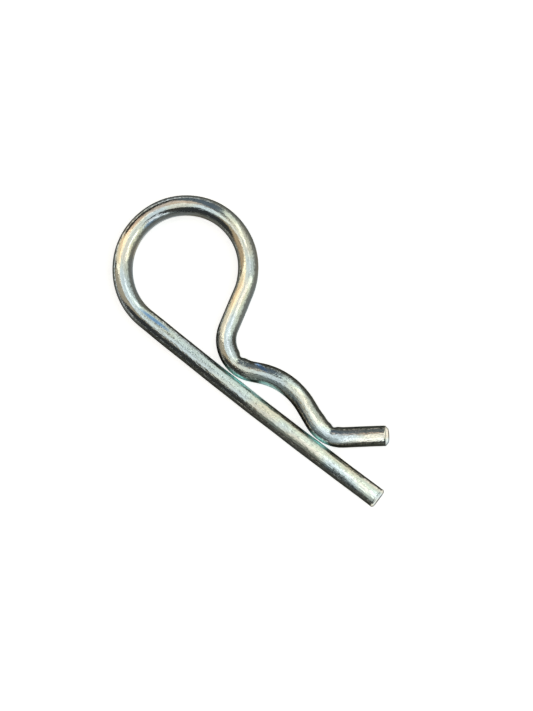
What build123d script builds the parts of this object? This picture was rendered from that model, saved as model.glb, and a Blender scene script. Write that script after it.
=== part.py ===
from build123d import *
from math import degrees, sqrt
import os

# Hitch R clip: one length of round spring wire, bent in one plane and lying flat.
# +X runs along the straight leg to its tip, +Y points to the shaped leg, +Z is up.
# The origin is under the middle of the clip, on the surface that it lies on.
# Lengths are in mm. Slopes and leans are in degrees, measured from the straight leg.

# The wire
wire_diameter = 4.0
contact_gap = 0.1          # left between the leg and each bend that rests on it

# Straight leg, from its tip to where the loop starts
leg_length = 57.2
leg_tip_length = 12.7      # free end, truly straight, that enters the pin's cross hole
leg_bow_radius = 1100.0    # the rest is bowed a little, hollow towards the shaped leg

# Loop, and the neck that leads from it back down to the leg
loop_inner_diameter = 20.6
neck_lean = 75.6

# Shaped leg: a bend onto the leg, the seat over the hitch pin, a second bend
bend_inner_radius = 4.2
seat_entry_slope = 25.6
seat_entry_length = 1.5
seat_inner_radius = 11.5
seat_exit_slope = 22.7

# Tail, flared away from the leg so that the hitch pin can spread the two
tail_lift = 38.9
tail_length = 8.65

# Cut ends
leg_tip_chamfer = 0.3
tail_chamfer = 0.7

# Radii of the wire and of its centreline, and how far the long arcs turn
wire_radius = wire_diameter / 2
loop_radius = loop_inner_diameter / 2 + wire_radius
bend_radius = bend_inner_radius + wire_radius
seat_radius = seat_inner_radius + wire_radius
bow_turn = degrees((leg_length - leg_tip_length) / leg_bow_radius)
loop_turn = 180 - bow_turn + neck_lean


def line_after(curve, length):
    """Straight run that carries a curve on."""
    return PolarLine(curve @ 1, length, direction=curve % 1)


def arc_after(curve, radius, turn):
    """Arc that carries a curve on, turning left where the turn is positive."""
    return JernArc(curve @ 1, curve % 1, radius, turn)


def line_down_to_leg(curve, bow_centre):
    """Straight run that ends where the bend after it can just rest on the bowed leg."""
    direction = curve % 1
    to_bend_centre = direction.rotate(Axis.Z, 90) * bend_radius
    offset = curve @ 1 + to_bend_centre - bow_centre
    reach = leg_bow_radius - wire_diameter - contact_gap - bend_radius
    along = offset.dot(direction)
    return line_after(curve, sqrt(along**2 - offset.length**2 + reach**2) - along)


def centreline():
    """Path of the wire's centre, from the tip of the straight leg to the tail's end."""
    leg_tip = PolarLine((0, 0), leg_tip_length, direction=(-1, 0))
    bow_centre = leg_tip @ 1 + Vector(0, leg_bow_radius)
    leg_bow = arc_after(leg_tip, leg_bow_radius, -bow_turn)
    loop = arc_after(leg_bow, loop_radius, -loop_turn)
    neck = line_down_to_leg(loop, bow_centre)
    first_bend = arc_after(neck, bend_radius, neck_lean + seat_entry_slope)
    seat_entry = line_after(first_bend, seat_entry_length)
    seat = arc_after(seat_entry, seat_radius, -seat_entry_slope - seat_exit_slope)
    seat_exit = line_down_to_leg(seat, bow_centre)
    second_bend = arc_after(seat_exit, bend_radius, seat_exit_slope + tail_lift)
    tail = line_after(second_bend, tail_length)
    leg = [leg_tip, leg_bow, loop, neck]
    shaped_leg = [first_bend, seat_entry, seat, seat_exit, second_bend, tail]
    return Curve() + leg + shaped_leg


def cut_edge(wire_solid, end_point):
    """Round edge of the flat cut at one end of the wire."""
    end_face = wire_solid.faces().filter_by(GeomType.PLANE).sort_by_distance(end_point)[0]
    return end_face.edges()


path = centreline()
start_plane = Plane(origin=path @ 0, z_dir=path % 0)
clip = sweep(start_plane * Circle(wire_radius), path=path)
clip = chamfer(cut_edge(clip, path @ 0), leg_tip_chamfer)
clip = chamfer(cut_edge(clip, path @ 1), tail_chamfer)

# Origin under the middle of the clip, at the height of its lowest side
outline = clip.bounding_box()
middle = outline.center()
clip = Pos(-middle.X, -middle.Y, -outline.min.Z) * clip

os.makedirs("parts", exist_ok=True)
export_step(clip, "parts/clip.step")
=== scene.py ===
import cmath
import math

import bpy
from mathutils import Matrix, Vector


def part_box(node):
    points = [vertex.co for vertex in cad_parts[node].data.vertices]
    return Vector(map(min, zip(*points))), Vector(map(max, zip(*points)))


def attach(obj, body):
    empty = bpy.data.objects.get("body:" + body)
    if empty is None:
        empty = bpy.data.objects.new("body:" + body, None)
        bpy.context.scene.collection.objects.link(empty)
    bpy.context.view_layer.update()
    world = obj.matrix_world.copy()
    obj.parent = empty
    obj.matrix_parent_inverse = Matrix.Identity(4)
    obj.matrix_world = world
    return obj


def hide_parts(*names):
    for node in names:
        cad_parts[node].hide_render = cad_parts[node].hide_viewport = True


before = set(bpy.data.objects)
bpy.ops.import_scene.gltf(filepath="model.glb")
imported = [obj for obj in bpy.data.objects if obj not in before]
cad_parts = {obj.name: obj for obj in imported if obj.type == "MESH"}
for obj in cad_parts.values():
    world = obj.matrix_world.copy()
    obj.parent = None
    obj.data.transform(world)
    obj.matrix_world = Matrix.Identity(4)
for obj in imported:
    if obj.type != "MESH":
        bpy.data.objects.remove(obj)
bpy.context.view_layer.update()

mm = 0.001


# ---- Clip: the one piece ----------------------------------------------------------------
# One length of 4 mm spring steel wire, bent cold round steel pins, then barrelled and zinc
# plated. It is all one piece, so its sizes, its mesh and its finish are all in this section.

# Places in the clip's plane are complex numbers: +X is real, +Y imaginary, in metres.
low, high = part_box("clip")
wire_radius = (high[2] - low[2]) / 2
mid_height = (high[2] + low[2]) / 2
leg_tip_place = complex(high[0], low[1] + wire_radius)

# Sizes along the wire. Angles are from the straight leg, in radians.
leg_length = 57.2 * mm
leg_tip_length = 12.7 * mm
leg_bow_radius = 1100.0 * mm
loop_radius = 10.3 * mm + wire_radius
bend_radius = 4.2 * mm + wire_radius
seat_radius = 11.5 * mm + wire_radius
contact_gap = 0.1 * mm
seat_entry_length = 1.5 * mm
tail_length = 8.65 * mm
neck_lean = math.radians(75.6)
seat_entry_slope = math.radians(25.6)
seat_exit_slope = math.radians(22.7)
tail_lift = math.radians(38.9)
bow_turn = (leg_length - leg_tip_length) / leg_bow_radius


class WirePath:
    """The wire's centreline, made longer one straight run or arc at a time."""

    def __init__(self, start, heading):
        self.stretches = []
        self.length = 0.0
        self.end = start
        self.heading = heading

    def run(self, length, curvature=0.0):
        """A run of wire, straight unless it has a curvature."""
        self.stretches.append((self.length, self.end, self.heading, curvature))
        self.length += length
        self.end, self.heading = self.at(self.length)

    def bend(self, radius, turn):
        """An arc that turns left where turn is positive."""
        length = radius * abs(turn)
        self.run(length, turn / length)

    def at(self, along):
        """Place and heading at a distance along the wire."""
        stretch = self.stretches[0]
        for later in self.stretches:
            if later[0] <= along:
                stretch = later
        start, place, heading, curvature = stretch
        step = along - start
        if not curvature:
            return place + heading * step, heading
        swing = cmath.exp(1j * curvature * step)
        return place + heading * (swing - 1) / (1j * curvature), heading * swing

    def run_down_to_leg(self, bow_centre):
        """A straight run that lets the left-hand bend after it just rest on the bowed leg."""
        offset = self.end + self.heading * 1j * bend_radius - bow_centre
        reach = leg_bow_radius - 2 * wire_radius - contact_gap - bend_radius
        along = (offset * self.heading.conjugate()).real
        self.run(math.sqrt(along**2 - abs(offset) ** 2 + reach**2) - along)


path = WirePath(leg_tip_place, complex(-1, 0))
path.run(leg_tip_length)
bow_centre = path.end + 1j * leg_bow_radius
path.bend(leg_bow_radius, -bow_turn)
loop_start = path.length
path.bend(loop_radius, -(math.pi - bow_turn + neck_lean))
loop_end = path.length
path.run_down_to_leg(bow_centre)
first_bend = path.length
path.bend(bend_radius, neck_lean + seat_entry_slope)
seat_start = path.length
path.run(seat_entry_length)
path.bend(seat_radius, -seat_entry_slope - seat_exit_slope)
path.run_down_to_leg(bow_centre)
second_bend = path.length
path.bend(bend_radius, seat_exit_slope + tail_lift)
tail_start = path.length
path.run(tail_length)


def bump_at(value, centre, spread):
    """A smooth hill, 1 at its centre."""
    return math.exp(-(((value - centre) / spread) ** 2))


def angle_from(angle, centre):
    """How far an angle is from another, the short way round."""
    return abs(math.remainder(angle - centre, math.tau))


# Angles round the wire. Its left is the outer side of the straight leg and of the loop.
left_side = 0.0
right_side = math.pi

# Where the forming pins pressed: distance along, side of the wire, depth, length and the
# angle it spreads over. A depth below zero is metal that was pushed up.
pin_marks = [
    (first_bend + 0.66 * (seat_start - first_bend), left_side, 0.42 * mm, 0.85 * mm, 1.0),
    (second_bend + 0.60 * (tail_start - second_bend), left_side, 0.38 * mm, 0.75 * mm, 1.0),
    (second_bend + 0.4 * mm, left_side, -0.15 * mm, 1.2 * mm, 0.8),
    (loop_start + 1.0 * mm, right_side, 0.05 * mm, 3.0 * mm, 0.9),
    (loop_end - 0.5 * mm, right_side, 0.06 * mm, 2.0 * mm, 0.9),
]

# The drawn wire is a little uneven: two waves wind along it, sunk to stay inside its radius
wave_height = 0.011 * mm
wave_sink = 2.5 * wave_height
long_wave = 3.1 * mm
short_wave = 1.7 * mm


def radius_at(along, angle):
    """The wire's radius there: drawn round, then pressed and a little uneven."""
    wave = math.sin(along / long_wave + 2 * angle) + math.sin(along / short_wave - 3 * angle)
    radius = wire_radius - wave_sink - wave_height * wave
    for place, side, depth, length, spread in pin_marks:
        pressed = bump_at(along, place, length) * bump_at(angle_from(angle, side), 0, spread)
        radius -= depth * pressed
    return radius


# Each cut end has a chamfer and a very slightly domed face
tip_chamfer, tip_dome = 0.30 * mm, 0.05 * mm
tail_chamfer, tail_dome = 0.70 * mm, 0.10 * mm

# How finely the mesh is divided: round the wire, along it, and over its cut ends
points_round = 96
ring_step = 0.25 * mm
chamfer_rings = 6
face_rings = 7


def cut_end(chamfer, dome):
    """Rings of one cut end as (depth behind the tip, share of the radius), centre first."""
    rings = []
    flat = 1 - chamfer / wire_radius
    for ring in range(1, face_rings + 1):
        share = flat * ring / face_rings
        rings.append((dome * (share / flat) ** 2, share))
    for ring in range(1, chamfer_rings + 1):
        share = ring / chamfer_rings
        rings.append((dome + (chamfer - dome) * share, flat + (1 - flat) * share))
    return rings


def wire_mesh():
    """The swept wire with its two cut ends. Returns points, faces and straightened places."""
    tip_end = cut_end(tip_chamfer, tip_dome)
    tail_end = cut_end(tail_chamfer, tail_dome)
    first, last = tip_end[-1][0], path.length - tail_end[-1][0]
    steps = round((last - first) / ring_step)
    rings = list(tip_end)
    rings += [(first + (last - first) * n / steps, 1.0) for n in range(1, steps)]
    rings += [(path.length - depth, share) for depth, share in reversed(tail_end)]

    points, straight, faces = [], [], []

    def add_point(along, share, angle):
        place, heading = path.at(along)
        radius = share * radius_at(along, angle)
        left, up = radius * math.cos(angle), radius * math.sin(angle)
        across = place + heading * 1j * left
        points.append((across.real, across.imag, mid_height + up))
        straight.append((along / mm, left / mm, up / mm))

    add_point(0.0, 0.0, 0.0)
    for along, share in rings:
        for n in range(points_round):
            add_point(along, share, math.tau * n / points_round)
    add_point(path.length, 0.0, 0.0)

    for n in range(points_round):
        faces.append((0, 1 + n, 1 + (n + 1) % points_round))
    for ring in range(len(rings) - 1):
        here, there = 1 + ring * points_round, 1 + (ring + 1) * points_round
        for n in range(points_round):
            after = (n + 1) % points_round
            faces.append((here + n, there + n, there + after, here + after))
    end = 1 + (len(rings) - 1) * points_round
    for n in range(points_round):
        faces.append((len(points) - 1, end + (n + 1) % points_round, end + n))
    return points, faces, straight


points, faces, straight = wire_mesh()
mesh = bpy.data.meshes.new("zinc_plated_clip")
mesh.from_pydata(points, [], faces)
mesh.shade_smooth()
places = mesh.attributes.new("wire_place", "FLOAT_VECTOR", "POINT")
places.data.foreach_set("vector", [number for place in straight for number in place])
clip = bpy.data.objects.new("zinc_plated_clip", mesh)
bpy.context.scene.collection.objects.link(clip)


class Shade:
    """A socket in a material. Arithmetic on it adds the Math nodes that work it out."""

    def __init__(self, tree, socket=None):
        self.tree = tree
        self.socket = socket

    def node(self, kind, settings=None, sockets=None, out=0):
        """Any node: its settings are set first, then its sockets' values or links."""
        made = self.tree.nodes.new(kind)
        for name, value in (settings or {}).items():
            if name == "stops":
                stops = made.color_ramp.elements
                stops.remove(stops[1])
                stops[0].position = value[0][0]
                for position, colour in value[1:]:
                    stops.new(position)
                for stop, (position, colour) in zip(stops, value):
                    stop.color = (*colour, 1)
            else:
                setattr(made, name, value)
        for name, value in (sockets or {}).items():
            if isinstance(value, Shade):
                self.tree.links.new(value.socket, made.inputs[name])
            else:
                made.inputs[name].default_value = value
        return Shade(self.tree, made.outputs[out])

    def math(self, operation, first, second=0.0):
        return self.node("ShaderNodeMath", {"operation": operation}, {0: first, 1: second})

    def __add__(self, other):
        return self.math("ADD", self, other)

    def __mul__(self, other):
        return self.math("MULTIPLY", self, other)

    def __sub__(self, other):
        return self.math("SUBTRACT", self, other)

    def __rsub__(self, other):
        return self.math("SUBTRACT", other, self)

    def __abs__(self):
        return self.math("ABSOLUTE", self)

    __radd__ = __add__
    __rmul__ = __mul__

    def between(self, dark, light):
        """This value stretched so that dark becomes 0 and light becomes 1, and no further."""
        sockets = {"Value": self, "From Min": dark, "From Max": light}
        return self.node("ShaderNodeMapRange", {"interpolation_type": "SMOOTHSTEP"}, sockets)

    def blend(self, factor, other):
        """This colour, with the other laid over it by a factor."""
        sockets = {0: factor, 6: self, 7: other}
        return self.node("ShaderNodeMix", {"data_type": "RGBA"}, sockets, out=2)

    def vector(self, operation, other):
        """This vector, put together with another."""
        return self.node("ShaderNodeVectorMath", {"operation": operation}, {0: self, 1: other})

    def part(self, axis):
        """One number out of this vector."""
        return self.node("ShaderNodeSeparateXYZ", {}, {"Vector": self}, axis)


def stretched_noise(place, stretch, scale, detail):
    """Noise drawn out along the wire, in features per mm round it."""
    squeezed = place.vector("MULTIPLY", (1 / stretch, 1, 1))
    sockets = {"Vector": squeezed, "Scale": scale, "Detail": detail}
    return place.node("ShaderNodeTexNoise", {}, sockets)


def contact_at(bend_start, shift):
    """Where a bend rests on the leg: between the two wires, shifted along the leg."""
    place, heading = path.at(bend_start)
    centre = place + heading * 1j * bend_radius
    outward = (centre - bow_centre) / abs(centre - bow_centre)
    touch = centre + outward * (bend_radius + wire_radius + contact_gap / 2)
    return (touch.real + shift, touch.imag, mid_height)


def on_wire(along, share):
    """A place on the wire's upper surface: its share of the radius is positive to the left."""
    place, heading = path.at(along)
    place += heading * 1j * share * wire_radius
    return (place.real, place.imag, mid_height + math.sqrt(1 - share**2) * wire_radius)


# Coloured patches laid on the zinc: middle, reach in mm along the leg, across it and up, and
# colour. The pale green ones by each contact and in the seat are painted reflection, the two
# wires mirrored in each other. Two smaller patches are blue.
painted_reflection_green = (0.72, 1.0, 0.98, 1)
blue_patch = (0.24, 0.40, 0.66, 1)
painted_reflections_and_patches = [
    (contact_at(first_bend, 2.5 * mm), (7.5, 1.4, 2.6), painted_reflection_green),
    (contact_at(second_bend, 0.3 * mm), (4.2, 1.4, 2.6), painted_reflection_green),
    (on_wire(seat_start + 4.9 * mm, -1.0), (4.0, 1.4, 2.6), painted_reflection_green),
    (on_wire(loop_start - 2.0 * mm, -0.45), (5.0, 0.5, 1.0), blue_patch),
    (on_wire(seat_start + 1.8 * mm, 0.55), (2.6, 0.5, 0.9), blue_patch),
]

# The zinc's own thin tints, from blue through green to straw, by a slow cloud along the wire
zinc_tints = [
    (0.34, (0.71, 0.79, 0.83)),
    (0.44, (0.74, 0.81, 0.82)),
    (0.54, (0.80, 0.82, 0.74)),
    (0.64, (0.86, 0.80, 0.68)),
]
dull_zinc = (0.38, 0.40, 0.40, 1)
pit_colour = (0.12, 0.12, 0.11, 1)
# Painted shade: the dark of the band on the wire's flanks
painted_shade_colour = (0.08, 0.083, 0.073, 1)
relief_depth = 0.05 * mm

# Where the wire's skin changes, in mm along it as the material counts, and how gradually
loop_place = loop_start / mm
neck_place = first_bend / mm
skin_fade = 3


def patch_mask(position, mottle, middle, reach):
    """1 in the middle of a patch, falling to 0 over its mottled border."""
    away = position.vector("SUBTRACT", middle)
    away = away.vector("MULTIPLY", tuple(1 / (length * mm) for length in reach))
    away = away.node("ShaderNodeVectorMath", {"operation": "LENGTH"}, {0: away}, "Value")
    return 1 - (away + 0.25 * mottle).between(0.45, 1.15)


def zinc_plate():
    """Bright zinc over drawn wire: die lines along it, a mottled skin, thin coloured tints."""
    material = bpy.data.materials.new("zinc_plated_wire")
    material.use_nodes = True
    tree = material.node_tree
    start = Shade(tree)
    place = start.node("ShaderNodeAttribute", {"attribute_name": "wire_place"}, out="Vector")

    die_lines = stretched_noise(place, stretch=16, scale=3.0, detail=3.0)
    mottle = stretched_noise(place, stretch=3.0, scale=3.2, detail=2.0)
    specks = stretched_noise(place, stretch=1.6, scale=4.5, detail=1.0)
    cloud = stretched_noise(place, stretch=3.0, scale=0.35, detail=1.0)
    colour = cloud.node("ShaderNodeValToRGB", {"stops": zinc_tints}, {"Fac": cloud})
    colour = colour.blend((1 - mottle.between(0.34, 0.48)) * 0.3, dull_zinc)

    # The loop and neck were smoothed round the forming pin, so their skin has fewer pits.
    # The cut ends have no drawn skin: nothing is raised on them, and no pits or painted
    # edge shade show.
    along = place.part("X")
    skin = along.between(0.3, 0.7) * (path.length / mm - along).between(0.45, 0.8)
    on_leg = 1 - along.between(loop_place - skin_fade, loop_place + skin_fade)
    past_neck = along.between(neck_place - skin_fade, neck_place + skin_fade)
    rough_skin = on_leg + past_neck
    pitted = skin * (0.35 + 0.65 * rough_skin)

    # Dark pits, mostly on the sides of the wire and hardly any on its top and underside
    up = abs(start.node("ShaderNodeNewGeometry", out="Normal").part("Z"))
    pits = specks.between(0.64, 0.74) * pitted * (0.9 - 0.8 * up.between(0.84, 0.95))
    colour = colour.blend(pits, pit_colour)

    # Painted shade: a dark, duller band with ragged borders on the wire's flanks, standing in
    # for the dark that its edges mirror. It is widest on the straight leg's outer side and
    # narrowest on its inner side, to follow how the light fell. It fades out again round the
    # middle of the wire's side.
    inner = 1 - place.part("Y").between(-0.6, 0.6)
    clear = 0.06 + on_leg * (0.22 * inner - 0.06)
    painted_edge_shade = (1 - (up + clear + 0.4 * specks).between(0.90, 1.10)) * up.between(0.08, 0.36) * skin
    colour = colour.blend(painted_edge_shade * (0.86 + 0.14 * rough_skin), painted_shade_colour)

    # The patches, painted reflection among them, lie over the painted edge shade and take a
    # little off the metal's shine
    position = start.node("ShaderNodeNewGeometry", out="Position")
    metal = 1.0
    for middle, reach, patch_colour in painted_reflections_and_patches:
        patch_cover = patch_mask(position, mottle, middle, reach)
        colour = colour.blend(patch_cover, patch_colour)
        painted_edge_shade = painted_edge_shade * (1 - patch_cover)
        metal = metal - 0.15 * patch_cover

    height = 0.7 * skin * die_lines + pitted * (0.70 * mottle + 0.42 * specks)
    relief = {"Height": height, "Strength": 1.0, "Distance": relief_depth}
    varying = {
        "Base Color": colour,
        "Roughness": 0.06 + 0.06 * mottle + 0.05 * die_lines + 0.26 * painted_edge_shade,
        "Metallic": metal,
        "Normal": start.node("ShaderNodeBump", {}, relief),
    }
    shader = tree.nodes["Principled BSDF"]
    for name, shade in varying.items():
        tree.links.new(shade.socket, shader.inputs[name])
    shader.inputs["Specular Tint"].default_value = (0, 0, 0, 1)
    return material


mesh.materials.append(zinc_plate())
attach(clip, "root")
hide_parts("clip")


# ---- Floor ------------------------------------------------------------------------------
# A wide studio table of matt white board that the clip lies loose on. It isn't part of the
# clip. It glows a little of itself, so that it shows white under plain light.

table_half_width = 6.0


def white_floor():
    """Matt white, with enough glow for the camera and for reflections to read as white."""
    material = bpy.data.materials.new("white_table")
    material.use_nodes = True
    tree = material.node_tree
    shader = tree.nodes["Principled BSDF"]
    shader.inputs["Base Color"].default_value = (0.72, 0.72, 0.72, 1)
    shader.inputs["Roughness"].default_value = 0.9
    shader.inputs["Specular IOR Level"].default_value = 0.1
    shader.inputs["Emission Strength"].default_value = 0.70
    start = Shade(tree)
    seen = start.node("ShaderNodeLightPath", out="Is Camera Ray")
    seen = seen + start.node("ShaderNodeLightPath", out="Is Glossy Ray")
    seen = seen + start.node("ShaderNodeLightPath", out="Is Transmission Ray")
    sockets = {0: seen, 6: (0, 0, 0, 1), 7: (1, 1, 1, 1)}
    glow = start.node("ShaderNodeMix", {"data_type": "RGBA"}, sockets, out=2)
    tree.links.new(glow.socket, shader.inputs["Emission Color"])
    return material


square = [(-1, -1), (1, -1), (1, 1), (-1, 1)]
corners = [(x * table_half_width, y * table_half_width, 0) for x, y in square]
floor_mesh = bpy.data.meshes.new("studio_table")
floor_mesh.from_pydata(corners, [], [(0, 1, 2, 3)])
floor_mesh.materials.append(white_floor())
floor = bpy.data.objects.new("studio_table", floor_mesh)
bpy.context.scene.collection.objects.link(floor)


# ---- Camera -----------------------------------------------------------------------------
# Nearly straight above, leaning a little towards the leg's tip, turned so that the leg runs
# down to the right.

look_at = Vector((1.7 * mm, -3.6 * mm, mid_height))
camera_distance = 0.4431
camera_lean = math.radians(8.41)
lean_heading = math.radians(4.8)
camera_roll = math.radians(-58.07)

camera_data = bpy.data.cameras.new("camera")
camera_data.sensor_width = 36
camera_data.lens = 116.9
camera = bpy.data.objects.new("camera", camera_data)
bpy.context.scene.collection.objects.link(camera)
bpy.context.scene.camera = camera
lean = Matrix.Rotation(lean_heading + math.pi / 2, 4, "Z") @ Matrix.Rotation(camera_lean, 4, "X")
camera.matrix_world = (
    Matrix.Translation(look_at)
    @ lean
    @ Matrix.Translation((0, 0, camera_distance))
    @ Matrix.Rotation(camera_roll, 4, "Z")
)


# ---- Light ------------------------------------------------------------------------------
# Soft panels round the table. Each is given by its direction from the clip: the turn from
# the camera's right-hand side, the angle down from overhead, and its width and height.

studio_turn = math.radians(36.75)
panel_distance = 1.2


def panel(name, turn, down, wide, tall, colour, glow, middle=look_at, distance=panel_distance):
    """A soft panel that faces the clip. Its glow is its brightness as the clip sees it."""
    heading = studio_turn + math.radians(turn)
    tilt = math.radians(down)
    flat = math.sin(tilt)
    outward = Vector((math.cos(heading) * flat, math.sin(heading) * flat, math.cos(tilt)))
    sideways = Vector((-math.sin(heading), math.cos(heading), 0))
    upward = outward.cross(sideways)
    data = bpy.data.lights.new(name, "AREA")
    data.shape = "RECTANGLE"
    data.size = 2 * distance * math.tan(math.radians(wide) / 2)
    data.size_y = 2 * distance * math.tan(math.radians(tall) / 2)
    data.color = colour
    data.energy = glow * math.pi * data.size * data.size_y
    lamp = bpy.data.objects.new(name, data)
    facing = Matrix((sideways, upward, outward)).transposed().to_4x4()
    lamp.matrix_world = Matrix.Translation(middle + outward * distance) @ facing
    lamp.visible_camera = False
    bpy.context.scene.collection.objects.link(lamp)


panel("key", 5, 27, 44, 8, (1.0, 1.0, 1.0), 1.15)
panel("green_wall", -26, 62, 40, 60, (0.96, 1.0, 0.84), 0.78)
panel("right_wall", 22, 61, 52, 58, (0.93, 1.0, 0.93), 0.66)
panel("edge_wall", 58.5, 57, 19, 74, (0.94, 1.0, 0.88), 0.84)
panel("overhead", 0, 0, 42, 42, (0.93, 1.0, 0.98), 0.78)
panel("white_edge", 160, 14, 18, 2, (1.0, 1.0, 0.97), 0.5)
panel("slate_card", 87, 58, 34, 54, (0.60, 0.80, 1.0), 0.13)
panel("pink_wall", 129, 40, 36, 36, (1.0, 0.80, 0.66), 0.62)
panel("cream_wall", 158, 59, 17, 74, (1.0, 0.83, 0.58), 0.88)
panel("cream_strip", 169, 42, 2.5, 44, (1.0, 0.95, 0.80), 0.8)
panel("tan_wall", 184, 54, 26, 60, (1.0, 0.80, 0.54), 0.40)
panel("blue_card", -55, 68, 15, 34, (0.32, 0.60, 1.0), 0.42)


def middle_of_wire(along):
    """The middle of the wire at a distance along it, to aim a near panel at."""
    place, _ = path.at(along)
    return Vector((place.real, place.imag, mid_height))


# Four small panels stand close to the tail, the seat and the leg's tip, so that the rest of
# the clip hardly mirrors them.
tip = middle_of_wire(0)
seat = middle_of_wire((seat_start + second_bend) / 2)
tail = middle_of_wire(path.length)
panel("tail_strip", -95, 36, 18, 40, (0.98, 1.0, 1.0), 0.90, tail, 0.10)
panel("tail_card", -114, 45, 32, 46, (0.90, 1.0, 0.98), 0.45, tail, 0.05)
panel("seat_card", -118, 48, 40, 40, (0.85, 1.0, 0.97), 0.17, seat, 0.028)
panel("tip_card", 75, 12, 22, 24, (1.0, 1.0, 1.0), 0.50, tip, 0.10)

# A faint even light from the rest of the room
world = bpy.data.worlds.new("studio")
world.use_nodes = True
background = world.node_tree.nodes["Background"]
background.inputs["Color"].default_value = (0.95, 1.0, 0.98, 1)
background.inputs["Strength"].default_value = 0.04
bpy.context.scene.world = world
bpy.context.scene.view_settings.view_transform = "Standard"
